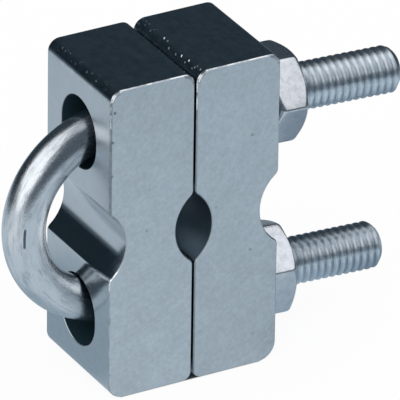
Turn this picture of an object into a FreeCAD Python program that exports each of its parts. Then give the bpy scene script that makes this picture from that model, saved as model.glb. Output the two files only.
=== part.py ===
"""Grounding clamp: two grooved blocks drawn together by a U-bolt and two hexagon nuts.

Millimetres. +X runs from the bow of the U-bolt towards its nuts, +Y is the width of the
blocks and +Z is up. The origin is in the middle of the front block's foot, on the plane
that both blocks stand on.

The clamp is put together loosely, with no rod and no cable in it, so the U-bolt hangs in
its wide holes with its nut end a little low. The lower nut then touches the rear block
with its lower edge, and the upper nut stands off it.
"""
import FreeCAD, Part
import math
import os
from FreeCAD import Vector

# Thread: three-eighths of an inch, sixteen to the inch.
thread_diameter = 9.525
thread_pitch = 1.5875

# U-bolt: bent from rod of the thread's pitch diameter, with both ends rolled.
leg_spacing = 38.0
bow_reach = 11.8            # from the front block's outer face to the rod's centre in the bow
upper_leg_projection = 23.6  # leg showing beyond its nut
lower_leg_projection = 22.0
thread_length = 38.0
thread_run_in = 1.2         # cone from the shank up to the thread
leg_end_chamfer = 1.1
u_bolt_tilt = 2.4           # degrees, nut end down
u_bolt_rise = -0.33         # height over the middle of the blocks, at the seam

# Blocks: sawn from one profile, and set as each other's mirror image.
block_thickness = 18.15
block_width = 25.4
block_end_wall = 6.65       # metal above the upper hole and under the lower one
seam_gap = 0.45             # play between the blocks
sawn_edge_break = 0.2       # chamfer round both sawn ends

# Corners of the profile.
top_corner_radius = 2.4
corner_radius = 1.8         # bottom corner at the seam
front_foot_radius = 3.3     # outer bottom corner of the front block
rear_foot_radius = 3.7      # outer bottom corner of the rear block

# Grooves: the rod lies in the front block's outer one, the cable between the inner two.
groove_radius = 9.0
inner_groove_depth = 3.75
front_outer_groove_depth = 3.6
rear_outer_groove_depth = 3.9
groove_lip_radius = 1.5

# Holes for the legs, a little taller than wide.
leg_side_clearance = 2.15
leg_height_clearance = 2.6
hole_outset = 0.2           # the holes stand this much further out than the legs
hole_edge_break = 0.15      # chamfer at both mouths of a hole

# Nuts: hexagons, chamfered on both faces.
nut_across_flats = 17.46
nut_thickness = 6.55
nut_face_share = 0.98       # diameter of the bearing face, over the flats
nut_chamfer_angle = 17.0
nut_bore_countersink = 0.6
nut_bore_clearance = 0.05   # on the radius
nut_seat_clearance = 0.05
upper_nut_turn = -3.75      # degrees about the leg, from a corner that points along +Y
lower_nut_turn = -19.7

# Sizes worked out from the ones above.
rolled_depth = 0.6495 * thread_pitch        # blank diameter under a rolled thread
shank_diameter = thread_diameter - rolled_depth
hole_width = thread_diameter + 2 * leg_side_clearance
hole_height = thread_diameter + 2 * leg_height_clearance
hole_offset = leg_spacing / 2 + hole_outset  # of each hole from the blocks' middle
middle_height = hole_offset + hole_height / 2 + block_end_wall
block_height = 2 * middle_height

# Places along X, from the middle of the front block.
front_outer_x = -block_thickness / 2
front_inner_x = block_thickness / 2
seam_x = front_inner_x + seam_gap / 2
rear_inner_x = front_inner_x + seam_gap
rear_outer_x = rear_inner_x + block_thickness

# Places along the legs, from the seam. The lower nut's bearing face meets the rear block
# at its lower edge, and both nuts sit equally far along.
tilt = math.radians(u_bolt_tilt)
bearing_radius = nut_face_share * nut_across_flats / 2
lowest_bearing = leg_spacing / 2 + bearing_radius
nut_seat = rear_outer_x - seam_x + nut_seat_clearance
nut_seat = (nut_seat + lowest_bearing * math.sin(tilt)) / math.cos(tilt)
nut_outer_face = nut_seat + nut_thickness
upper_leg_end = nut_outer_face + upper_leg_projection
lower_leg_end = nut_outer_face + lower_leg_projection
bend_radius = leg_spacing / 2
bend_start = front_outer_x - seam_x - bow_reach + bend_radius


def turned(outline, along_x, height):
    """Solid of revolution about a line along X at the given height.

    The outline is a list of (distance along X, radius), closed along the axis.
    """
    first, last = outline[0], outline[-1]
    closed = [(first[0], 0.0)] + outline + [(last[0], 0.0), (first[0], 0.0)]
    points = [Vector(along_x + place, 0, height + radius) for place, radius in closed]
    return Part.Face(Part.makePolygon(points)).revolve(Vector(0, 0, height), Vector(1, 0, 0), 360)


def round_edges(solid, radius, wanted):
    """Round the edges of the solid for which wanted(edge) is true."""
    return solid.makeFillet(radius, [edge for edge in solid.Edges if wanted(edge)])


def chamfer_edges(solid, size, wanted):
    """Chamfer the edges of the solid for which wanted(edge) is true."""
    return solid.makeChamfer(size, [edge for edge in solid.Edges if wanted(edge)])


def runs_across(edge):
    """True for a straight edge along the width of the block."""
    return isinstance(edge.Curve, Part.Line) and abs(edge.Curve.Direction.y) > 0.999


def off_middle(edge):
    """Height of the edge's centre over or under the middle of the block."""
    return abs(edge.CenterOfMass.z - middle_height)


def groove_cutter(centre_x):
    """Cylinder across the block, at mid-height."""
    base = Vector(centre_x, -block_width, middle_height)
    return Part.makeCylinder(groove_radius, 2 * block_width, base, Vector(0, 1, 0))


def hole_cutter(height):
    """Upright slot with round ends, through both faces of the block."""
    start_x = -block_thickness
    radius = hole_width / 2
    straight = Vector(0, 0, (hole_height - hole_width) / 2)
    top = Vector(start_x, 0, height) + straight
    foot = Vector(start_x, 0, height) - straight
    side = Vector(0, radius, 0)
    up = Vector(0, 0, radius)
    outline = Part.Wire([
        Part.Arc(top - side, top + up, top + side).toShape(),
        Part.makeLine(top + side, foot + side),
        Part.Arc(foot + side, foot - up, foot - side).toShape(),
        Part.makeLine(foot - side, top - side),
    ])
    return Part.Face(outline).extrude(Vector(3 * block_thickness, 0, 0))


def block(outer_groove_depth, foot_radius):
    """One block, with its inner face at X = 0 and its outer face towards +X."""
    solid = Part.makeBox(block_thickness, block_width, block_height, Vector(0, -block_width / 2, 0))
    inner_centre_x = inner_groove_depth - groove_radius
    outer_centre_x = block_thickness - outer_groove_depth + groove_radius
    solid = solid.cut([groove_cutter(inner_centre_x), groove_cutter(outer_centre_x)])

    def is_lip(edge):
        return runs_across(edge) and off_middle(edge) < groove_radius

    def is_foot(edge):
        low = edge.CenterOfMass.z < corner_radius / 2
        return runs_across(edge) and low and edge.CenterOfMass.x > block_thickness / 2

    def is_top_corner(edge):
        return runs_across(edge) and edge.CenterOfMass.z > block_height - corner_radius / 2

    def is_corner(edge):
        low = edge.CenterOfMass.z < corner_radius / 2
        return runs_across(edge) and low and not is_foot(edge)

    def is_sawn(edge):
        side = block_width / 2 - abs(edge.CenterOfMass.y)
        return side < sawn_edge_break / 2

    solid = round_edges(solid, groove_lip_radius, is_lip)
    solid = round_edges(solid, foot_radius, is_foot)
    solid = round_edges(solid, top_corner_radius, is_top_corner)
    solid = round_edges(solid, corner_radius, is_corner)
    solid = chamfer_edges(solid, sawn_edge_break, is_sawn)
    solid = solid.cut([hole_cutter(middle_height + hole_offset), hole_cutter(middle_height - hole_offset)])

    def is_hole_mouth(edge):
        box = edge.BoundBox
        flat = box.XLength < hole_edge_break / 2
        near_hole = max(box.YMax, -box.YMin) < hole_width / 2 + hole_edge_break
        return flat and near_hole and off_middle(edge) > groove_radius

    return chamfer_edges(solid, hole_edge_break, is_hole_mouth)


def leg(height, end):
    """One straight leg: shank, cone, thread and end chamfer, turned about its own axis."""
    shank = shank_diameter / 2
    crest = thread_diameter / 2
    thread_start = end - thread_length
    return turned([
        (bend_start, shank),
        (thread_start - thread_run_in, shank),
        (thread_start, crest),
        (end - leg_end_chamfer, crest),
        (end, crest - leg_end_chamfer),
    ], 0.0, height)


def bent_rod():
    """The U-bolt with level legs: half a ring for the bow and a leg at each end."""
    start = Vector(bend_start, 0, bend_radius)
    section = Part.Face(Part.Wire(Part.makeCircle(shank_diameter / 2, start, Vector(1, 0, 0))))
    bow = section.revolve(Vector(bend_start, 0, 0), Vector(0, -1, 0), 180)
    upper_leg = leg(leg_spacing / 2, upper_leg_end)
    lower_leg = leg(-leg_spacing / 2, lower_leg_end)
    return bow.fuse([upper_leg, lower_leg]).removeSplitter()


def nut(height, turn):
    """Hexagon prism within a double cone, bored and countersunk at both faces."""
    corner_circle = nut_across_flats / math.sqrt(3)
    corners = []
    for number in range(7):
        angle = math.radians(60 * number + turn)
        reach = Vector(0, math.cos(angle), math.sin(angle)) * corner_circle
        corners.append(Vector(nut_seat, 0, height) + reach)
    prism = Part.Face(Part.makePolygon(corners)).extrude(Vector(nut_thickness, 0, 0))

    chamfer_depth = (corner_circle - bearing_radius) * math.tan(math.radians(nut_chamfer_angle))
    envelope = turned([
        (0.0, bearing_radius),
        (chamfer_depth, corner_circle),
        (nut_thickness - chamfer_depth, corner_circle),
        (nut_thickness, bearing_radius),
    ], nut_seat, height)

    bore_radius = thread_diameter / 2 + nut_bore_clearance
    mouth_radius = bore_radius + nut_bore_countersink
    opening = turned([
        (0.0, mouth_radius),
        (nut_bore_countersink, bore_radius),
        (nut_thickness - nut_bore_countersink, bore_radius),
        (nut_thickness, mouth_radius),
    ], nut_seat, height)
    return prism.common(envelope).cut(opening)


def hung(shape):
    """The shape as the loose U-bolt hangs: tilted about the seam, nut end down."""
    shape.rotate(Vector(0, 0, 0), Vector(0, 1, 0), u_bolt_tilt)
    shape.translate(Vector(seam_x, 0, middle_height + u_bolt_rise))
    return shape


front_block = block(front_outer_groove_depth, front_foot_radius).mirror(Vector(0, 0, 0), Vector(1, 0, 0))
front_block.translate(Vector(front_inner_x, 0, 0))
rear_block = block(rear_outer_groove_depth, rear_foot_radius)
rear_block.translate(Vector(rear_inner_x, 0, 0))

pieces = {
    "front_block": front_block,
    "rear_block": rear_block,
    "u_bolt": hung(bent_rod()),
    "upper_nut": hung(nut(leg_spacing / 2, upper_nut_turn)),
    "lower_nut": hung(nut(-leg_spacing / 2, lower_nut_turn)),
}

os.makedirs("parts", exist_ok=True)
for name, shape in pieces.items():
    print(name, len(shape.Solids), "solid, valid:", shape.isValid(), "volume", round(shape.Volume, 1))
    shape.Solids[0].exportStep("parts/" + name + ".step")
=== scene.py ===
import math

import bpy
import numpy as np
from mathutils import Matrix, Vector


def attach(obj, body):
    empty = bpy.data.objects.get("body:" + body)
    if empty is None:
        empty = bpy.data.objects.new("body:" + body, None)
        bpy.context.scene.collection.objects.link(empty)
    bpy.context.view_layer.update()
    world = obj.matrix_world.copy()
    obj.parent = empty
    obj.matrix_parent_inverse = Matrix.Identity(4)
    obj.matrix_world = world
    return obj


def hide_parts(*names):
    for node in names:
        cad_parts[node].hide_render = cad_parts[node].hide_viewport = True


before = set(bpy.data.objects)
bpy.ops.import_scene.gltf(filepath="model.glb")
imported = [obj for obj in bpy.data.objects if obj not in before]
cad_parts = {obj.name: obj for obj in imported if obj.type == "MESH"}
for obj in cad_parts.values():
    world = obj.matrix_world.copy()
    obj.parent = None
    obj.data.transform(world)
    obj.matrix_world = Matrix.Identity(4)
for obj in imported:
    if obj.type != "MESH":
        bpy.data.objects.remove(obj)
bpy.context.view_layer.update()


# The two blocks
# Aluminium bar, extruded with both grooves in it, sawn to length and bored for the legs.
# The extruded faces carry fine die lines, and the sawn ends the arcs of the saw. Tumbling
# has worn the edges in places and left a few nicks, pits and burrs. The worn edges carry a
# painted highlight.
MM = 0.001                      # a millimetre in metres
metres_to_mm = (1000.0, 1000.0, 1000.0)

block_height = 66.425
block_half = 9.075              # half of a block's thickness, along X
seam_x = 9.3                    # of the plane between the blocks, as far from each one's middle
top_corner_radius = 2.4
hole_offset = 19.2              # of each hole from the block's middle
middle_height = block_height / 2.0
corner_height = block_height - top_corner_radius

block_colour = (0.60, 0.64, 0.67, 1.0)
# Painted highlight on the worn edges and corners and on the front groove's lower lip
edge_colour = (0.92, 0.94, 0.95, 1.0)
dull_edge_colour = (0.45, 0.49, 0.52, 1.0)
dark_edge_colour = (0.20, 0.23, 0.25, 1.0)
seam_edge_colour = (0.68, 0.72, 0.75, 1.0)
pit_colour = (0.30, 0.35, 0.39, 1.0)
burr_colour = (0.75, 0.80, 0.83, 1.0)
# Painted shade in the holes
bore_shade_colour = (0.022, 0.055, 0.075, 1.0)

# Patterns: lumps to a millimetre along each axis, detail, roughness, and distortion if any.
arc_pattern = ((2.0, 9.0, 0.3), 3.0, 0.62, 0.8)     # along the saw's radius, round it, along Y
speckle_pattern = ((1.3, 1.3, 1.3), 3.0, 0.6)
cloud_pattern = ((0.15, 0.15, 0.15), 3.0, 0.6)
die_line_pattern = ((2.6, 0.06, 2.6), 2.0, 0.5)
tarnish_pattern = ((0.70, 0.45, 0.70), 3.0, 0.6)
nick_pattern = ((1.6, 1.6, 0.9), 3.0, 0.7)
wear_sheen_pattern = ((0.45, 0.45, 0.45), 3.0, 0.6)
noise_middle = 0.5              # that every pattern lies around
saw_centre = (-28.0, 80.0)      # of the arcs, in X and Z

# Spots: cells to a millimetre, the spots' radius in cells, and the share of cells with one.
pit_spots = ((0.13, 0.13, 0.13), 0.05, 0.18)
burr_spots = ((0.95, 1.8, 1.0), 0.33, 0.28)
burr_turn = -52.0               # of the burrs' cells about Z, in degrees

# Places in mm. A pair is where a mask begins and where it is full. A triple is the low end,
# the high end and the softness outside them.
edge_inner = (12.47, 12.52)     # from the block's middle to the edge break's inner side
edge_outer = (12.66, 12.69)     # and to its outer side, at the sawn end
beside_edge = (12.38, 12.50)    # and to just before the edge break
rear_side = (8.0, 11.0)         # along X, from the front block to the rear one
top_band = (63.2, 64.2)         # height from which a face counts as the top
left_corner_x = (-8.625, -8.825)        # the front block's upright edge between its outer face
left_corner_y = (-12.2, -12.45)         # and its near sawn end
dark_edge_height = (26.0, 42.0)         # from which that edge is dark
seam_burrs_x = (10.2, 11.4, 0.2)
left_burrs_x = (-8.4, -7.6, 0.3)
crowded_y = (-9.0, 4.0, 3.0)    # where most of the burrs are
corner_rim = (1.60, 2.50)       # from a top corner's centre, where it is rubbed round, with a painted highlight
corner_fade = (0.0, 0.4)        # from that centre, outwards and upwards
front_left_half = (1.0, 0.0)    # along X, the half of the front block towards the bow
rear_left_corner = (9.5, 13.0, 1.0)     # along X, the rear block's corner at the seam
polished_sheen_height = (56.0, 60.0)  # from which more of the edges is polished, with a painted highlight
lip_height = (24.2, 27.4, 1.0)  # of the front groove's lower lip
lip_x = (-4.6, -5.2)
seam_edge_band = (-0.6, 0.0, 0.2)       # from the seam, on the front block
gap_shade_band = (0.2, 0.35, 0.25)      # and on the rear one
bore_reach = (7.7, 7.6)         # from a hole's centre line
bore_inside = (9.07, 8.93)      # from a block's middle plane
groove_x = (4.3, 4.1)           # from the seam, of the inner grooves
groove_height = (9.0, 8.5)      # from the middle height
outer_face_x = (17.6, 18.3)     # from the seam
outer_face_height = (38.0, 63.4, 1.2)

# Levels of a pattern at which a mark begins and is full.
nick_level = (0.60, 0.66)
wear_sheen_level = (0.42, 0.60)
lip_wear_sheen_level = (0.34, 0.48)

# Weights of the marks in the tint, where 1 is the block's colour.
arc_tint = 0.24
speckle_tint = 0.46
cloud_tint = 0.22
sawn_tint_middle = 0.28
tint_rise = 0.002               # with height, for each mm
rear_shade_rise = 0.0025         # and as much more on the rear block, as painted shade towards its bottom
die_line_tint = 0.2
tarnish_tint = 0.8
side_contrast = 0.20
top_contrast = 1.10

# Shares of a mark where it is weakest, and of a colour that is laid over the others.
sparse_burrs = 0.35
left_burrs = 0.16
right_corner_wear_sheen = 0.15
low_edge_wear_sheen = 0.15
dark_edge_share = 0.8
gap_shade_share = 0.6

# Roughness, and how each mark changes it.
sawn_roughness = 0.38
edge_roughness = 0.30
extruded_roughness = 0.13
arc_roughness = 0.10
edge_polish = 0.12
tarnish_roughness = 0.08
burr_roughness = 0.5
groove_roughness = 0.12
bore_roughness = 0.3
outer_face_roughness = 0.11

# Heights and depths of the marks in mm, and the share of the metal's gloss that two take away.
arc_height = 0.006
speckle_height = 0.003
die_line_height = 0.0012
pit_depth = 0.08
nick_depth = 0.10
burr_height = 0.06
worn_corner_depth = 0.75
burr_dullness = 0.85
bore_dullness = 0.75


class Signal:
    """One socket of a shader tree: maths on it adds Math nodes, and add() any other node."""

    def __init__(self, tree, node=None, socket=None):
        self.tree = tree
        self.node = node
        self.socket = socket

    def add(self, kind, settings=None, sockets=None, output=0):
        """A new node. Its settings come first, then its sockets get their values or links."""
        node = self.tree.nodes.new(kind)
        for name, value in (settings or {}).items():
            setattr(node, name, value)
        for name, value in (sockets or {}).items():
            if isinstance(value, Signal):
                self.tree.links.new(value.socket, node.inputs[name])
            else:
                node.inputs[name].default_value = value
        return Signal(self.tree, node, node.outputs[output] if len(node.outputs) else None)

    def out(self, name):
        """Another output of the same node."""
        return Signal(self.tree, self.node, self.node.outputs[name])

    def maths(self, operation, *values):
        """A Math node over the given values."""
        return self.add("ShaderNodeMath", {"operation": operation}, dict(enumerate(values)))

    def __add__(self, other):
        return self.maths("ADD", self, other)

    def __radd__(self, other):
        return self.maths("ADD", other, self)

    def __sub__(self, other):
        return self.maths("SUBTRACT", self, other)

    def __rsub__(self, other):
        return self.maths("SUBTRACT", other, self)

    def __mul__(self, other):
        return self.maths("MULTIPLY", self, other)

    def __rmul__(self, other):
        return self.maths("MULTIPLY", other, self)

    def __abs__(self):
        return self.maths("ABSOLUTE", self)

    def larger(self, other):
        """The larger of two numbers."""
        return self.maths("MAXIMUM", self, other)

    def angle(self, other):
        """The angle in radians whose tangent is this number over the other."""
        return self.maths("ARCTAN2", self, other)

    def step(self, low, high):
        """Smooth step: 0 up to low, 1 beyond high, on an S-shaped curve between them."""
        return self.add(
            "ShaderNodeMapRange",
            {"interpolation_type": "SMOOTHSTEP"},
            {"Value": self, "From Min": low, "From Max": high},
        )

    def within(self, low, high, softness):
        """1 between low and high, falling to 0 over softness outside them."""
        return self.step(low - softness, low) * (1.0 - self.step(high, high + softness))

    def spread(self, low, high):
        """The number that is low where this is 0 and high where it is 1."""
        return low + (high - low) * self

    def joined(self, second, third):
        """The vector of this number and two others."""
        return self.add("ShaderNodeCombineXYZ", None, {0: self, 1: second, 2: third})

    def length(self):
        """The length of the vector."""
        return self.add("ShaderNodeVectorMath", {"operation": "LENGTH"}, {0: self}, "Value")

    def parts(self):
        """The three parts of the vector."""
        axes = self.add("ShaderNodeSeparateXYZ", None, {0: self})
        return axes.out("X"), axes.out("Y"), axes.out("Z")

    def scaled(self, scale):
        """The vector with each part multiplied by its own scale."""
        return self.add("ShaderNodeVectorMath", {"operation": "MULTIPLY"}, {0: self, 1: scale})

    def turned(self, axis, degrees):
        """The vector turned about an axis."""
        return self.add(
            "ShaderNodeVectorRotate", {"rotation_type": "AXIS_ANGLE"},
            {"Vector": self, "Axis": axis, "Angle": math.radians(degrees)},
        )

    def noise(self, scale, detail, roughness, distortion=0.0):
        """Fractal noise around 0.5 on the scaled vector, with one lump to a unit."""
        return self.add("ShaderNodeTexNoise", {"noise_dimensions": "3D"}, {
            "Vector": self.scaled(scale), "Scale": 1.0, "Detail": detail,
            "Roughness": roughness, "Distortion": distortion,
        })

    def spots(self, scale, radius, share):
        """Spots of a radius in X and Y, in a share of the unit cells of the scaled vector.

        Each cell has its own random colour: its red chooses the cells with a spot, and its
        green says how strong the spot is.
        """
        core = 0.5
        faintest = 0.3
        fading = (0.3, 0.9)
        softness = 0.01
        cell = self.add(
            "ShaderNodeTexVoronoi", {"voronoi_dimensions": "2D"},
            {"Vector": self.scaled(scale), "Scale": 1.0},
        )
        chance = cell.add("ShaderNodeSeparateColor", None, {0: cell.out("Color")})
        strength = chance.out("Green").step(*fading).spread(faintest, 1.0)
        spot = 1.0 - cell.step(core * radius, radius)
        return spot * strength * chance.step(1.0 - share, 1.0 - share + softness)

    def mixed(self, first, second):
        """The first colour where this is 0 and the second where it is 1.

        The Mix node has sockets of the same name for each kind of value, so the two colours
        and the result go by their numbers.
        """
        return self.add(
            "ShaderNodeMix", {"data_type": "RGBA"}, {0: self, 6: first, 7: second}, 2
        )

    def dimming(self, colour):
        """A colour multiplied by this number."""
        return self.add(
            "ShaderNodeVectorMath", {"operation": "SCALE"}, {0: colour[:3], "Scale": self}
        )


def new_finish(name):
    """An empty material, and a Signal to start its tree from."""
    material = bpy.data.materials.new(name)
    material.use_nodes = True
    material.node_tree.nodes.clear()
    return material, Signal(material.node_tree)


def object_place(start):
    """Object coordinates in mm."""
    return start.add("ShaderNodeTexCoord", output="Object").scaled(metres_to_mm)


def metal(start, colour, roughness, height, metallic=1.0):
    """Metal with its colour, roughness and height in mm; it ends the tree."""
    bump = start.add(
        "ShaderNodeBump", None, {"Strength": 1.0, "Distance": MM, "Height": height}, "Normal"
    )
    surface = start.add("ShaderNodeBsdfPrincipled", None, {
        "Base Color": colour, "Roughness": roughness, "Metallic": metallic, "Normal": bump,
    })
    start.add("ShaderNodeOutputMaterial", None, {"Surface": surface})


def saw_arcs(place):
    """Fine arcs about the saw's centre: noise on the radius, the angle and Y."""
    x, y, z = place.parts()
    saw_x = x - saw_centre[0]
    saw_z = z - saw_centre[1]
    reach = saw_x.joined(0.0, saw_z).length()
    return reach.joined(saw_x.angle(saw_z), y).noise(*arc_pattern)


def top_burrs(place):
    """1 on the burrs on the top: most beside the seam, and a few beside the left edge."""
    x, y, z = place.parts()
    on_top = z.step(*top_band)
    beside_seam = on_top * x.within(*seam_burrs_x)
    beside_left = on_top * x.within(*left_burrs_x) * left_burrs
    crowded = y.within(*crowded_y).spread(sparse_burrs, 1.0)
    lumps = place.turned((0.0, 0.0, 1.0), burr_turn).spots(*burr_spots)
    return lumps * (beside_seam * crowded + beside_left)


def worn_sheen_corners(place):
    """1 on the rims of the rounded top corners, mostly on the left one of each block: rubbed
    round, with a painted highlight.

    It grows with the distance from the line that the corner is rounded about.
    """
    x, y, z = place.parts()
    from_middle = abs(x - seam_x) - seam_x
    over_corner = z - corner_height
    in_corner = abs(from_middle) - block_half + top_corner_radius
    rim = in_corner.joined(0.0, over_corner).length().step(*corner_rim)
    rim = rim * in_corner.step(*corner_fade) * over_corner.step(*corner_fade)
    left_corners = x.step(*front_left_half).larger(x.within(*rear_left_corner))
    return rim * left_corners.spread(right_corner_wear_sheen, 1.0)


def in_bores(place):
    """1 on the walls of the holes, a hair inside both faces of each block."""
    x, y, z = place.parts()
    from_hole = abs(abs(z - middle_height) - hole_offset)
    bore = y.joined(from_hole, 0.0).length().step(*bore_reach)
    return bore * abs(abs(x - seam_x) - seam_x).step(*bore_inside)


def block_finish():
    """Extruded, sawn and tumbled aluminium, read from Object coordinates in mm."""
    material, start = new_finish("block_metal")
    place = object_place(start)
    x, y, z = place.parts()
    side = abs(y)
    sawn = side.step(*edge_outer)
    edge = side.step(*edge_inner) * (1.0 - sawn)
    from_seam = x - seam_x
    from_middle_height = z - middle_height

    arcs = saw_arcs(place)
    speckle = place.noise(*speckle_pattern)
    clouds = place.noise(*cloud_pattern)
    die_lines = place.noise(*die_line_pattern)
    tarnish = place.noise(*tarnish_pattern)
    # The sawn ends get darker towards the bottom; on the rear block the extra darkening is
    # painted shade
    drift_and_shade = from_middle_height * (tint_rise + rear_shade_rise * x.step(*rear_side))
    sawn_tint = arc_tint * arcs + speckle_tint * speckle + cloud_tint * clouds + drift_and_shade
    contrast = z.step(*top_band).spread(side_contrast, top_contrast)
    extruded_tint = die_line_tint * die_lines + tarnish_tint * tarnish - noise_middle
    extruded_tint = extruded_tint * contrast
    tint = 1.0 + sawn * (sawn_tint - sawn_tint_middle) + (1.0 - sawn) * extruded_tint

    pits = place.turned((1.0, 0.0, 0.0), 90.0).spots(*pit_spots) * sawn
    burrs = top_burrs(place)
    left_corner = x.step(*left_corner_x) * y.step(*left_corner_y)
    nicks = left_corner * place.noise(*nick_pattern).step(*nick_level)
    dark_edge = left_corner * z.step(*dark_edge_height)
    seam_edge = edge * from_seam.within(*seam_edge_band)
    gap_shade = from_seam.within(*gap_shade_band) * side.step(*beside_edge)

    # Worn edges, corners and the front groove's lower lip, partly real wear and partly painted
    # highlight
    wear_sheen = place.noise(*wear_sheen_pattern)
    worn_sheen_corner = worn_sheen_corners(place)
    lip = z.within(*lip_height) * x.step(*lip_x) * side.step(*beside_edge)
    bright = edge * wear_sheen.step(*wear_sheen_level) * z.step(*polished_sheen_height).spread(low_edge_wear_sheen, 1.0)
    bright = bright.larger(side.step(*edge_inner) * worn_sheen_corner)
    bright = bright.larger(lip * (1.0 - sawn) * wear_sheen.step(*lip_wear_sheen_level))

    bore = in_bores(place)
    groove = abs(from_seam).step(*groove_x) * abs(from_middle_height).step(*groove_height)
    groove = groove * (1.0 - sawn)
    outer_face = abs(from_seam).step(*outer_face_x) * z.within(*outer_face_height)
    outer_face = outer_face * (1.0 - sawn)

    colour = tint.dimming(block_colour)
    colour = edge.mixed(colour, dull_edge_colour)
    colour = (dark_edge_share * dark_edge).mixed(colour, dark_edge_colour)
    colour = seam_edge.mixed(colour, seam_edge_colour)
    colour = (gap_shade_share * gap_shade).mixed(colour, dark_edge_colour)
    colour = bright.mixed(colour, edge_colour)
    colour = (pits + nicks).mixed(colour, pit_colour)
    colour = burrs.mixed(colour, burr_colour)
    # Painted shade on the walls of the holes
    colour = bore.mixed(colour, bore_shade_colour)

    sawn_part = sawn * (sawn_roughness + arc_roughness * (arcs - noise_middle))
    edge_part = edge * (edge_roughness - edge_polish * bright)
    extruded_part = extruded_roughness + tarnish_roughness * (tarnish - noise_middle)
    extruded_part = (1.0 - sawn - edge) * extruded_part
    roughness = sawn_part + edge_part + extruded_part + burr_roughness * burrs
    roughness = roughness + groove_roughness * groove + bore_roughness * bore
    roughness = roughness + outer_face_roughness * outer_face

    height = sawn * (arc_height * arcs + speckle_height * speckle)
    height = height + (1.0 - sawn) * die_line_height * die_lines
    height = height - pit_depth * pits - nick_depth * nicks + burr_height * burrs
    height = height - worn_corner_depth * sawn * worn_sheen_corner
    metallic = 1.0 - burr_dullness * burrs - bore_dullness * bore
    metal(start, colour, roughness, height, metallic)
    return material


block_metal = block_finish()
for name in ("front_block", "rear_block"):
    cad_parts[name].material_slots[0].material = block_metal


# The U-bolt
# Low-carbon steel rod, threaded on both ends by rolling, bent round a half circle and then
# zinc plated. Both ends are sheared and chamfered. The legs pass through both blocks.
crest_radius = 4.7625
shank_radius = 4.247
thread_pitch = 1.5875
thread_depth = 0.42             # as it looks with its rounded crests and the plating in it
thread_length = 38.0
thread_fade = 2.4               # over which the thread runs out into the shank
end_chamfer = 1.1

leg_offset = 19.0               # of each leg from the U-bolt's middle line
lower_leg_lift = 0.7            # of the bow's foot; the leg eases back inside the blocks
bend_start = -11.175            # along the legs, from the seam between the blocks
upper_leg_end = 49.746
lower_leg_end = 48.146
u_bolt_height = 32.8825
u_bolt_tilt = math.radians(2.4)

thread_end = thread_length + thread_fade
upper_length = upper_leg_end - bend_start
lower_length = lower_leg_end - bend_start
bow_length = math.pi * leg_offset
rod_length = upper_length + bow_length + lower_length

rings_per_pitch = 18
thread_sharpness = 0.93         # 1 would be a plain V
rings_in_bow = 96
rings_in_shank = 12
points_round = 72
ring_decimals = 4               # of a mm, to which two rings count as one

bolt_colour = (0.78, 0.81, 0.84, 1.0)
bolt_dull_colour = (0.48, 0.53, 0.58, 1.0)
bolt_dark_colour = (0.20, 0.24, 0.28, 1.0)
thread_colour = (0.83, 0.92, 0.99, 1.0)
nick_colour = (0.06, 0.08, 0.10, 1.0)

# Patterns on the unbent rod, written as the blocks' are, along it first.
streak_pattern = ((0.22, 2.2, 2.2), 4.0, 0.65, 0.4)
dent_pattern = ((0.14, 0.45, 0.45), 2.0, 0.45)
blotch_pattern = ((0.25, 0.8, 0.8), 4.0, 0.65)
satin_pattern = ((1.5, 4.5, 4.5), 2.0, 0.5)
mottle_pattern = ((1.2, 2.2, 2.2), 4.0, 0.7)
dull_level = (0.42, 0.78)
scored_level = (0.56, 0.72)
scored_share = 0.45
thread_colour_share = 0.6
root_shade_depth = (0.12, 0.38)       # under the crests, where painted shade in the roots begins and is full
root_shade_share = 0.30
nick_reach = (89.5, 92.6, 0.6)  # along the unbent rod
nick_place = (1.86, -3.82)      # across the unbent rod
nick_rim = (0.34, 0.14)         # from its middle, where it begins and is full
nick_raggedness = 0.3
nick_share = 0.9

bolt_roughness = 0.15
satin_roughness = 0.14
dull_roughness = 0.12
thread_roughness = 0.07
streak_height = 0.010
mottle_height = 0.034
thread_cleanness = 0.92         # share of the skin that the rolled thread has lost
dent_height = 0.05
bolt_nick_depth = 0.05


def smooth(share):
    """Smooth step of a share t, held between 0 and 1: 3 t^2 - 2 t^3."""
    held = np.clip(share, 0.0, 1.0)
    return held * held * (3.0 - 2.0 * held)


def u_bolt_stations():
    """Distances along the rod at which it gets a ring, from the upper leg's end to the lower's.

    They lie close in the threads, and wider apart in the shanks and the bow.
    """
    bow_end = upper_length + bow_length
    thread = np.linspace(0.0, thread_end, int(thread_end / thread_pitch * rings_per_pitch))
    stations = np.concatenate([
        thread,
        np.linspace(thread_end, upper_length, rings_in_shank),
        np.linspace(upper_length, bow_end, rings_in_bow),
        np.linspace(bow_end, rod_length - thread_end, rings_in_shank),
        rod_length - thread,
    ])
    return np.unique(np.round(stations, ring_decimals))


def rod_radius(along, angle):
    """Radius of the rod at a distance along it and an angle round it.

    In the thread it is the crest less a depth that follows arcsin(sharpness * cosine) of the
    turns, a wave with straight flanks and rounded crests. The turns are
    distance / pitch - angle / turn, which winds right-handed. The thread fades into the
    shank over a smooth step, and the end chamfer cuts it at 45 degrees.
    """
    from_end = np.minimum(along, rod_length - along)
    phase = along / thread_pitch - angle / (2.0 * math.pi)
    wave = np.arcsin(thread_sharpness * np.cos(2.0 * math.pi * phase))
    sunk = 0.5 - 0.5 * wave / math.asin(thread_sharpness)
    threaded = crest_radius - thread_depth * sunk
    in_thread = smooth((thread_end - from_end) / thread_fade)
    radius = shank_radius + (threaded - shank_radius) * in_thread
    return np.minimum(radius, crest_radius - end_chamfer + from_end)


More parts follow.
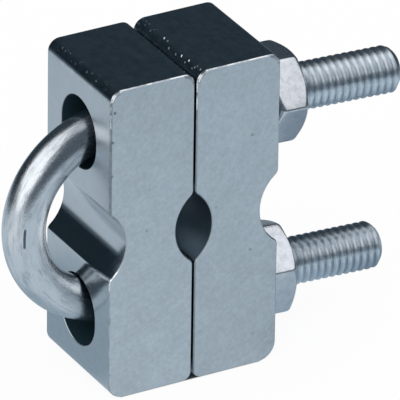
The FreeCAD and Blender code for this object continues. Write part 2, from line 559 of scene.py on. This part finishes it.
def rod_line(along):
    """Middle line of the rod and the direction away from the bend's centre, before the tilt.

    The upper leg runs towards the bow, the bow is half a circle about the bend's centre, and
    the lower leg runs back. The bow is a little narrow: its lift grows with 1 - cos(turn), and
    the lower leg eases back to its place over a smooth step before its thread.
    """
    turn = np.clip((along - upper_length) / bow_length, 0.0, 1.0) * math.pi
    outward = np.stack([-np.sin(turn), np.zeros_like(turn), np.cos(turn)], -1)
    line = leg_offset * outward
    beyond = np.clip(along - upper_length - bow_length, 0.0, None)
    line[:, 0] += bend_start + np.clip(upper_length - along, 0.0, None) + beyond
    lifted = 1.0 - smooth(beyond / (lower_length - thread_end))
    line[:, 2] += lower_leg_lift * 0.5 * (1.0 - np.cos(turn)) * lifted
    return line, outward


def hang(points):
    """Turn points about the seam as the loose U-bolt hangs, nut end down, and move it there."""
    cos, sin = math.cos(u_bolt_tilt), math.sin(u_bolt_tilt)
    x, y, z = points[..., 0], points[..., 1], points[..., 2]
    return np.stack([seam_x + x * cos + z * sin, y, u_bolt_height - x * sin + z * cos], -1)


def tube_faces(rows, columns):
    """Quads of a grid whose columns close round, facing away from its middle line."""
    row, column = np.meshgrid(np.arange(rows - 1), np.arange(columns), indexing="ij")
    beside = (column + 1) % columns
    corners = [
        row * columns + column,
        (row + 1) * columns + column,
        (row + 1) * columns + beside,
        row * columns + beside,
    ]
    return np.stack(corners, -1).reshape(-1, 4).tolist()


def mesh_object(name, points, faces, material):
    """A mesh object from points in mm and faces: quads are smooth-shaded and triangles flat."""
    mesh = bpy.data.meshes.new(name)
    mesh.from_pydata((np.asarray(points) * MM).tolist(), [], faces)
    mesh.polygons.foreach_set("use_smooth", [len(face) == 4 for face in faces])
    mesh.materials.append(material)
    mesh.update()
    piece = bpy.data.objects.new(name, mesh)
    bpy.context.scene.collection.objects.link(piece)
    return piece


def make_u_bolt(material):
    """Rings of rod_radius() carried along rod_line(), each end closed to its centre.

    The attribute unbent holds each point's place on the rod before it was bent: the distance
    along it, and the radius times the cosine and the sine of the angle round it.
    """
    along = u_bolt_stations()
    angle = np.arange(points_round) * 2.0 * math.pi / points_round
    radius = rod_radius(along[:, None], angle[None, :])
    line, outward = rod_line(along)
    around = np.cos(angle)[None, :, None] * outward[:, None, :]
    around = around + np.sin(angle)[None, :, None] * np.array([0.0, 1.0, 0.0])
    points = hang(line[:, None, :] + radius[..., None] * around).reshape(-1, 3)
    centres = hang(line[[0, -1]])
    first, last = len(points), len(points) + 1
    last_ring = (len(along) - 1) * points_round
    faces = tube_faces(len(along), points_round)
    for number in range(points_round):
        beside = (number + 1) % points_round
        faces.append((first, number, beside))
        faces.append((last, last_ring + beside, last_ring + number))
    piece = mesh_object("u_bolt_plated", np.vstack([points, centres]), faces, material)
    straight = np.stack([
        np.broadcast_to(along[:, None], radius.shape),
        radius * np.cos(angle)[None, :],
        radius * np.sin(angle)[None, :],
    ], -1).reshape(-1, 3)
    straight = np.vstack([straight, [[0.0, 0.0, 0.0], [rod_length, 0.0, 0.0]]])
    unbent = piece.data.attributes.new("unbent", "FLOAT_VECTOR", "POINT")
    unbent.data.foreach_set("vector", straight.astype(np.float32).ravel())
    return piece


def bolt_finish():
    """Zinc plate over drawn rod: streaks and shallow dents run along the unbent rod."""
    material, start = new_finish("bolt_plating")
    place = start.add("ShaderNodeAttribute", {"attribute_name": "unbent"}, output="Vector")
    streaks = place.noise(*streak_pattern)
    dents = place.noise(*dent_pattern)
    satin = place.noise(*satin_pattern)
    mottle = place.noise(*mottle_pattern)
    dull = place.noise(*blotch_pattern).step(*dull_level)
    scored = streaks.step(*scored_level)

    along, across, over = place.parts()
    from_end = along.maths("MINIMUM", along, rod_length - along)
    threaded = from_end.step(thread_end, thread_length)
    reach = across.joined(over, 0.0).length()
    root_shade = reach.step(crest_radius - root_shade_depth[0], crest_radius - root_shade_depth[1])
    from_nick = (across - nick_place[0]).joined(over - nick_place[1], 0.0).length()
    ragged = from_nick + nick_raggedness * (streaks - noise_middle)
    nick = along.within(*nick_reach) * ragged.step(*nick_rim)

    colour = dull.mixed(bolt_colour, bolt_dull_colour)
    colour = (scored_share * scored * (1.0 - threaded)).mixed(colour, bolt_dark_colour)
    colour = (thread_colour_share * threaded).mixed(colour, thread_colour)
    # Painted shade in the thread roots
    colour = (root_shade_share * (threaded * root_shade)).mixed(colour, bolt_dark_colour)
    colour = (nick_share * nick).mixed(colour, nick_colour)
    roughness = bolt_roughness + satin_roughness * satin + dull_roughness * dull
    roughness = roughness + thread_roughness * threaded
    skin = streak_height * streaks + mottle_height * mottle
    height = (1.0 - thread_cleanness * threaded) * skin + dent_height * dents
    metal(start, colour, roughness, height - bolt_nick_depth * nick)
    return material


u_bolt = make_u_bolt(bolt_finish())
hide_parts("u_bolt")
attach(u_bolt, "u_bolt")


# The two nuts
# Hexagon nuts, hot forged from steel, chamfered on both faces, tapped and zinc plated. The
# lower one touches the rear block with its lower edge, and the upper one stands off it.
nut_seat = 19.5961              # bearing face, along the legs from the seam
nut_thickness = 6.55
nut_across_flats = 17.46
nut_face_radius = 8.555
nut_slope = math.tan(math.radians(17.0))
nut_mouth_radius = 5.41
nut_bore_radius = 4.8125
nut_mouth_break = 0.06          # on both sides of the edge between a face and the countersink
nut_face_inset = 0.15           # from a face's rim, where it stops being quite flat
nut_face_break = (0.01, 0.02)   # depth and reach of the row just beyond that rim
nut_corners = 6
nut_corner_rounding = 0.8
nut_rim_share = 0.6             # of the cone's width that the rounding of its rim takes
nut_rim_rounding = 0.2          # by which that rounding reaches further down the flat
nut_turns = {"upper_nut": -3.75, "lower_nut": -19.7}
nut_sides = {"upper_nut": leg_offset, "lower_nut": -leg_offset}

points_in_corner = 7
points_on_flat = 12             # with the last of one corner and the first of the next
points_on_rim = 5

nut_colour = (0.80, 0.82, 0.86, 1.0)
nut_dull_colour = (0.66, 0.69, 0.73, 1.0)
nut_skin_pattern = ((0.75, 0.75, 0.75), 4.0, 0.6)
nut_grain_pattern = ((2.2, 2.2, 2.2), 2.0, 0.5)
nut_dull_level = (0.38, 0.75)
nut_grain_tint = 0.4
nut_roughness = 0.22
nut_skin_roughness = 0.14
nut_grain_roughness = 0.06
nut_skin_height = 0.02
nut_grain_height = 0.003


def hexagon(turn):
    """Angles round the nut, and the radius of its rounded hexagon at each.

    Between corners the radius is half the width across flats over the cosine of the angle from
    the flat's middle. Within a corner it reaches a small circle that touches both flats.
    """
    half = nut_across_flats / 2.0
    sector = 2.0 * math.pi / nut_corners
    flat_middle = sector / 2.0
    corner_centre = (half - nut_corner_rounding) / math.cos(flat_middle)
    corner_half = flat_middle - math.atan(corner_centre * math.sin(flat_middle) / half)
    in_corner = np.linspace(-corner_half, corner_half, points_in_corner)
    on_flat = np.linspace(corner_half, sector - corner_half, points_on_flat)[1:-1]
    reach = corner_centre * np.sin(in_corner)
    corner_radius = corner_centre * np.cos(in_corner)
    corner_radius = corner_radius + np.sqrt(nut_corner_rounding ** 2 - reach ** 2)
    flat_radius = half / np.cos(on_flat - flat_middle)
    corners = np.arange(nut_corners)[:, None] * sector
    angles = corners + np.concatenate([in_corner, on_flat])[None, :] + math.radians(turn)
    return angles.ravel(), np.tile(np.concatenate([corner_radius, flat_radius]), nut_corners)


def rounded_rim(before, rim, after):
    """Rows on a curve from a place before the rim to one after it, bent towards the rim.

    It is the quadratic curve (1 - t)^2 before + 2 t (1 - t) rim + t^2 after, in (depth, radius).
    """
    t = np.linspace(0.0, 1.0, points_on_rim)[:, None, None]
    return (1.0 - t) ** 2 * before + 2.0 * t * (1.0 - t) * rim + t ** 2 * after


def make_nut(name, material):
    """One closed grid: round the nut, and from the bore over one face, the flats and the other.

    Each chamfer is a cone from the face's circle: its depth grows with the hexagon's radius.
    """
    angles, outer = hexagon(nut_turns[name])
    ones = np.ones_like(outer)

    def at(depth, radius):
        """A row of the grid, as (depth from the bearing face, radius)."""
        return np.stack([depth * ones, radius * ones], -1)

    cone = outer - nut_face_radius
    drop = cone * nut_slope
    back = nut_rim_share * cone
    rim_rows = rounded_rim(
        at(drop - back * nut_slope, outer - back),
        at(drop, outer),
        at(drop + nut_rim_rounding + back, outer),
    )
    half_nut = [
        at(nut_thickness / 2.0, nut_bore_radius),
        at(nut_mouth_radius - nut_bore_radius, nut_bore_radius),
        at(nut_mouth_break, nut_mouth_radius - nut_mouth_break),
        at(0.0, nut_mouth_radius + nut_mouth_break),
        at(0.0, nut_face_radius - nut_face_inset),
        at(nut_face_break[0], nut_face_radius + nut_face_break[1]),
    ] + list(rim_rows)
    mirrored = [np.stack([nut_thickness - row[:, 0], row[:, 1]], -1) for row in half_nut[:0:-1]]
    rows = np.stack(half_nut + mirrored)
    depth, radius = rows[..., 0], rows[..., 1]
    points = np.stack([
        nut_seat + depth,
        radius * np.cos(angles)[None, :],
        nut_sides[name] + radius * np.sin(angles)[None, :],
    ], -1)
    row_count, columns = depth.shape
    faces = tube_faces(row_count, columns)
    last_row = (row_count - 1) * columns
    for number in range(columns):
        beside = (number + 1) % columns
        faces.append((last_row + number, number, beside, last_row + beside))
    return mesh_object(name + "_plated", hang(points).reshape(-1, 3), faces, material)


def nut_finish():
    """Zinc plate over a forged skin with a fine grain, read from Object coordinates in mm."""
    material, start = new_finish("nut_plating")
    place = object_place(start)
    skin = place.noise(*nut_skin_pattern)
    grain = place.noise(*nut_grain_pattern)
    fine_grain = grain - noise_middle
    dull = (skin + nut_grain_tint * fine_grain).step(*nut_dull_level)
    colour = dull.mixed(nut_colour, nut_dull_colour)
    roughness = nut_roughness + nut_skin_roughness * skin + nut_grain_roughness * fine_grain
    metal(start, colour, roughness, nut_skin_height * skin + nut_grain_height * grain)
    return material


nut_plating = nut_finish()
for name in nut_turns:
    nut = make_nut(name, nut_plating)
    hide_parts(name)
    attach(nut, name)


# The floor
# A pale studio floor that the blocks stand on. It keeps a soft shadow of them, and a painted
# contact shadow where they touch it.
floor_drop = 0.1                # under the blocks' feet, so that the mat lies between
floor_reach = 2500.0
floor_colour = (0.95, 0.95, 0.95, 1.0)
contact_shadow_colour = (0.10, 0.13, 0.15, 1.0)
white = (1.0, 1.0, 1.0, 1.0)
floor_glow_share = 0.93
feet = ((-6.0, 24.2, 0.5), (-12.2, 12.2, 0.5))      # patch of painted contact shadow under them: X and Y, as bands


def flat_square(name, reach, height, material):
    """A level square about the origin, reaching so far each way."""
    corners = [
        (-reach, -reach, height),
        (reach, -reach, height),
        (reach, reach, height),
        (-reach, reach, height),
    ]
    return mesh_object(name, corners, [(0, 1, 2, 3)], material)


def seen_or_mirrored(start):
    """1 for rays from the camera and from gloss or glass, else 0."""
    path = start.add("ShaderNodeLightPath")
    seen = path.out("Is Camera Ray").larger(path.out("Is Glossy Ray"))
    return seen.larger(path.out("Is Transmission Ray"))


def in_patch(place, patch):
    """1 in a patch of the floor, which is a band in X and one in Y."""
    x, y, z = place.parts()
    return x.within(*patch[0]) * y.within(*patch[1])


def floor_finish():
    """Pale matt paint, a painted contact shadow under the feet, a white glow for camera and
    gloss.
    """
    material, start = new_finish("floor_paint")
    place = object_place(start)
    under_feet = in_patch(place, feet)
    matt_colour = under_feet.mixed(floor_colour, contact_shadow_colour)
    matt = start.add("ShaderNodeBsdfDiffuse", None, {"Color": matt_colour})
    glow = start.add("ShaderNodeEmission", None, {"Color": white, "Strength": 1.0})
    glow_share = seen_or_mirrored(start) * floor_glow_share * (1.0 - under_feet)
    look = start.add("ShaderNodeMixShader", None, {0: glow_share, 1: matt, 2: glow})
    start.add("ShaderNodeOutputMaterial", None, {"Surface": look})
    return material


flat_square("floor", floor_reach, -floor_drop, floor_finish())


# The light tent
# Glowing cards that show only in the metal's gloss, as painted reflections: a grey mat on the
# floor with painted shadows on it, and a dome with a soft box at the left, another at the
# right and above, and dark cloth in front and behind.
tent_reach = 900.0
mat_drop = 0.05
mat_grey = (0.51, 0.59, 0.65, 1.0)
mat_right_grey = (0.47, 0.55, 0.61, 1.0)
mat_pale = (0.68, 0.73, 0.77, 1.0)
mat_dark = (0.07, 0.09, 0.11, 1.0)
mat_contact_shadow = (0.10, 0.12, 0.15, 1.0)
mat_shadow = (0.33, 0.41, 0.48, 1.0)
mat_deep_shadow = (0.20, 0.26, 0.32, 1.0)
mat_shift = 20.0                # of the mat's middle, towards the bow
mat_left = (-2.2, -1.3, 0.4)    # azimuth of the pale part, in radians from +Y
mat_pale_from = (25.0, 80.0)    # distance from the mat's middle
mat_behind_y = (-30.0, 30.0)
mat_end_behind = (120.0, 280.0)
mat_end_in_front = (180.0, 280.0)
mat_right_x = (0.0, 60.0)

# Patches of painted shadow on the mat: X and Y, as bands.
shadow_behind = ((-24.0, 60.0, 14.0), (0.0, 38.0, 14.0))
shadow_of_nuts = ((34.0, 85.0, 8.0), (-16.0, 30.0, 10.0))
shadow_of_legs = ((54.0, 85.0, 8.0), (-38.0, 30.0, 10.0))

dome_rows = 24
dome_columns = 96
dome_share = 0.999              # of the quarter circle, which stops just short of the top
dark_cloth = (0.028, 0.043, 0.057, 1.0)
deep_cloth = (0.013, 0.023, 0.032, 1.0)
front_cloth = (0.068, 0.093, 0.118, 1.0)
top_cloth = (0.57, 0.60, 0.63, 1.0)
left_box_glow = (1.22, 1.24, 1.26, 1.0)
right_box_glow = (1.00, 1.01, 1.04, 1.0)
left_box_corners = (            # azimuth, elevation and the softness of the edge to the next
    (-104.0, -9.0, 0.16),
    (-54.0, 24.0, 0.24),
    (-40.0, 62.0, 0.12),
    (-97.0, 73.0, 0.10),
    (-146.0, 23.0, 0.10),
)

# The right box and the cloths, in radians or in parts of the direction.
right_box_azimuth = (0.75, 2.75, 0.15)
right_box_foot = 1.00           # elevation of its lower edge, straight behind
right_box_fall = 0.24           # of that edge, for each radian to the right
right_box_foot_fade = (-0.05, 0.10)
right_box_top = (1.15, 1.35)
dark_cloth_x = (-0.5, 0.2)
back_cloth_y = (-0.3, 0.1)
top_cloth_elevation = (1.08, 1.25)


def only_in_gloss(card):
    """Hide a card from every ray but those that leave shiny surfaces."""
    card.visible_camera = False
    card.visible_diffuse = False
    card.visible_transmission = False
    card.visible_volume_scatter = False
    card.visible_shadow = False


def card_glow(start, colour):
    """A card that glows in its colour, at plain strength; it ends the tree."""
    glow = start.add("ShaderNodeEmission", None, {"Color": colour, "Strength": 1.0})
    start.add("ShaderNodeOutputMaterial", None, {"Surface": glow})


def toward(azimuth, elevation):
    """Directions at an azimuth from +Y towards +X and an elevation, in radians.

    They are (cos elevation sin azimuth, cos elevation cos azimuth, sin elevation).
    """
    return np.stack([
        np.cos(elevation) * np.sin(azimuth),
        np.cos(elevation) * np.cos(azimuth),
        np.sin(elevation) + 0.0 * azimuth,
    ], -1)


def dome(name, reach, material):
    """A quarter circle turned about Z: rows in elevation and columns in azimuth."""
    elevation = np.linspace(0.0, math.pi / 2.0 * dome_share, dome_rows)[:, None]
    azimuth = (np.arange(dome_columns) * 2.0 * math.pi / dome_columns)[None, :]
    points = reach * toward(azimuth, elevation).reshape(-1, 3)
    return mesh_object(name, points, tube_faces(dome_rows, dome_columns), material)


def card_mask(direction, corners):
    """1 inside a card with these corners, given as azimuth and elevation in degrees.

    Each edge is a plane through the middle of the tent; the mask is the product of smooth
    steps of the direction's height over each plane.
    """
    azimuth, elevation = np.radians(np.array(corners)[:, :2]).T
    points = toward(azimuth, elevation)
    middle = points.mean(axis=0)
    mask = 1.0
    for first, second, corner in zip(points, np.roll(points, -1, axis=0), corners):
        plane = np.cross(first, second)
        plane = plane / np.linalg.norm(plane) * np.sign(plane @ middle)
        height = direction.add(
            "ShaderNodeVectorMath", {"operation": "DOT_PRODUCT"},
            {0: direction, 1: plane.tolist()}, "Value",
        )
        mask = mask * height.step(-corner[2], corner[2])
    return mask


def mat_finish():
    """Painted floor reflection: grey, paler at the left, dark far off, with painted shadows."""
    material, start = new_finish("mat_reflection_glow")
    place = object_place(start)
    x, y, z = place.parts()
    azimuth = (x + mat_shift).angle(y)
    distance = (x + mat_shift).joined(y, 0.0).length()
    left = azimuth.within(*mat_left)
    behind = y.step(*mat_behind_y)
    far = behind * distance.step(*mat_end_behind)
    far = far + (1.0 - behind) * distance.step(*mat_end_in_front)
    sheen = x.step(*mat_right_x).mixed(mat_grey, mat_right_grey)
    sheen = (left * distance.step(*mat_pale_from)).mixed(sheen, mat_pale)
    shadow = in_patch(place, shadow_behind).larger(in_patch(place, shadow_of_nuts))
    sheen = shadow.mixed(sheen, mat_shadow)
    sheen = in_patch(place, shadow_of_legs).mixed(sheen, mat_deep_shadow)
    sheen = (far * (1.0 - left)).mixed(sheen, mat_dark)
    # Painted contact shadow under the feet, as the mat shows it in reflections
    card_glow(start, in_patch(place, feet).mixed(sheen, mat_contact_shadow))
    return material


def dome_finish():
    """Dark cloth and the two soft boxes, placed by the direction from the tent's middle."""
    material, start = new_finish("dome_reflection_glow")
    place = start.add("ShaderNodeTexCoord", output="Object")
    direction = place.add("ShaderNodeVectorMath", {"operation": "NORMALIZE"}, {0: place})
    x, y, z = direction.parts()
    azimuth = x.angle(y)
    elevation = z.maths("ARCSINE", z)
    left_box = card_mask(direction, left_box_corners)
    over_foot = elevation - (right_box_foot - right_box_fall * azimuth)
    right_box = azimuth.within(*right_box_azimuth) * over_foot.step(*right_box_foot_fade)
    right_box = right_box * (1.0 - elevation.step(*right_box_top))
    cloth = x.step(*dark_cloth_x).mixed(deep_cloth, dark_cloth)
    cloth = y.step(*back_cloth_y).mixed(front_cloth, cloth)
    cloth = elevation.step(*top_cloth_elevation).mixed(cloth, top_cloth)
    card_glow(start, right_box.mixed(left_box.mixed(cloth, left_box_glow), right_box_glow))
    return material


only_in_gloss(flat_square("floor_reflection_card", tent_reach, -mat_drop, mat_finish()))
only_in_gloss(dome("light_tent", tent_reach, dome_finish()))


# The lamps and the room
# Two large soft lamps over a pale room. They light the floor and leave a soft shadow.
lamp_aim = Vector((0.0, 0.0, 30.0))
room_light = 0.75


def soft_lamp(name, place, size, power):
    """A square area lamp at a place in mm, turned towards the clamp."""
    lamp = bpy.data.lights.new(name, "AREA")
    lamp.shape = "SQUARE"
    lamp.size = size * MM
    lamp.energy = power
    holder = bpy.data.objects.new(name, lamp)
    bpy.context.scene.collection.objects.link(holder)
    toward_clamp = lamp_aim - Vector(place)
    holder.location = Vector(place) * MM
    holder.rotation_euler = toward_clamp.to_track_quat("-Z", "Y").to_euler()
    holder.visible_glossy = False


def pale_room():
    """A white world: full strength for the camera and in gloss, and dimmer as a light."""
    room = bpy.data.worlds.new("room")
    room.use_nodes = True
    room.node_tree.nodes.clear()
    start = Signal(room.node_tree)
    plain = start.add("ShaderNodeBackground", None, {"Color": white, "Strength": room_light})
    seen = start.add("ShaderNodeBackground", None, {"Color": white, "Strength": 1.0})
    look = start.add("ShaderNodeMixShader", None, {0: seen_or_mirrored(start), 1: plain, 2: seen})
    start.add("ShaderNodeOutputWorld", None, {"Surface": look})
    return room


soft_lamp("key_lamp", place=(-500.0, -500.0, 900.0), size=700.0, power=3.0)
soft_lamp("fill_lamp", place=(700.0, -400.0, 700.0), size=700.0, power=1.5)
bpy.context.scene.world = pale_room()
bpy.context.scene.view_settings.view_transform = "Standard"


# The camera
# A long lens, above the clamp's left front corner, as in the photograph.
camera_azimuth = math.radians(-29.06)
camera_elevation = math.radians(27.95)
camera_roll = math.radians(0.67)
camera_distance = 1539.1
camera_aim = Vector((9.225, 0.0, 33.19))
aim_beside = 7.33               # to the right of the clamp's middle
camera_lens = 720.0
camera_sensor = 36.0
camera_clip = (0.05, 20.0)      # metres

backward = Vector((
    math.sin(camera_azimuth) * math.cos(camera_elevation),
    -math.cos(camera_azimuth) * math.cos(camera_elevation),
    math.sin(camera_elevation),
))
level_right = Vector((math.cos(camera_azimuth), math.sin(camera_azimuth), 0.0))
level_up = backward.cross(level_right)
view_right = math.cos(camera_roll) * level_right + math.sin(camera_roll) * level_up
view_up = math.cos(camera_roll) * level_up - math.sin(camera_roll) * level_right
camera_place = camera_aim + camera_distance * backward
toward_camera = (camera_place - camera_aim - aim_beside * view_right).normalized()
camera_axes = Matrix((view_up.cross(toward_camera), view_up, toward_camera)).transposed()

camera_data = bpy.data.cameras.new("camera")
camera_data.lens = camera_lens
camera_data.sensor_width = camera_sensor
camera_data.clip_start = camera_clip[0]
camera_data.clip_end = camera_clip[1]
camera = bpy.data.objects.new("camera", camera_data)
camera.matrix_world = Matrix.Translation(camera_place * MM) @ camera_axes.to_4x4()
bpy.context.scene.collection.objects.link(camera)
bpy.context.scene.camera = camera
